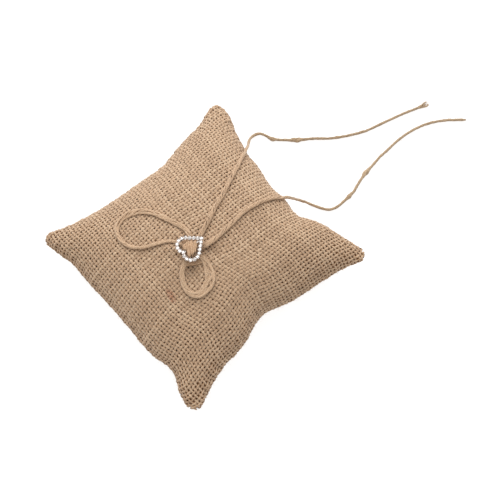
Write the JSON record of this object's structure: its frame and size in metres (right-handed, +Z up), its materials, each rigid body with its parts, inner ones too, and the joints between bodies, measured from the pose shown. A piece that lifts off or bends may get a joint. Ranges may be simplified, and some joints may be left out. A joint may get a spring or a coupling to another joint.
{
  "type": "ring bearer pillow",
  "caption": "Small square burlap cushion with a jute twine bow tied through a rhinestone heart buckle; the long twine tails tie on wedding rings.",
  "frame": {"origin": "middle of the pillow, on the surface that it lies on", "axes": "+Z up; X and Y along the pillow's sides; the twine tails leave over the +Y side"},
  "size_m": [0.1472, 0.2725, 0.0483],
  "materials": {
    "burlap": "coarse plain weave, matt",
    "lining": "plain brown cloth, matt",
    "filling": "loose fibre",
    "thread": "sewing thread",
    "twine": "two-ply jute, hairy, matt",
    "silver": "bright plate",
    "crystal": "faceted, foil-backed"
  },
  "bodies": {
    "pillow": {"top_panel": "burlap", "bottom_panel": "burlap", "lining_top": "lining", "lining_bottom": "lining", "fibre_filling": "filling", "seam_stitching": "thread", "closing_stitching": "thread", "tack_stitch": "thread", "bow_knot": "twine", "bow_loop_left": "twine", "bow_loop_lower": "twine", "bow_tail_upper": "twine", "bow_tail_right": "twine"},
    "heart": {"heart_frame": "silver", "rhinestone_01": "crystal", "rhinestone_02": "crystal", "rhinestone_03": "crystal", "rhinestone_04": "crystal", "rhinestone_05": "crystal", "rhinestone_06": "crystal", "rhinestone_07": "crystal", "rhinestone_08": "crystal", "rhinestone_09": "crystal", "rhinestone_10": "crystal", "rhinestone_11": "crystal", "rhinestone_12": "crystal", "rhinestone_13": "crystal", "rhinestone_14": "crystal", "rhinestone_15": "crystal", "rhinestone_16": "crystal", "rhinestone_17": "crystal", "rhinestone_18": "crystal", "rhinestone_19": "crystal", "rhinestone_20": "crystal"}
  },
  "joints": [
    {"name": "heart_rock", "type": "hinge", "parent": "pillow", "child": "heart", "pos_m": [0.0047, -0.0113, 0.04645], "axis": [0.0349, 0.9994, 0], "range_deg": [-8, 8]}
  ]
}
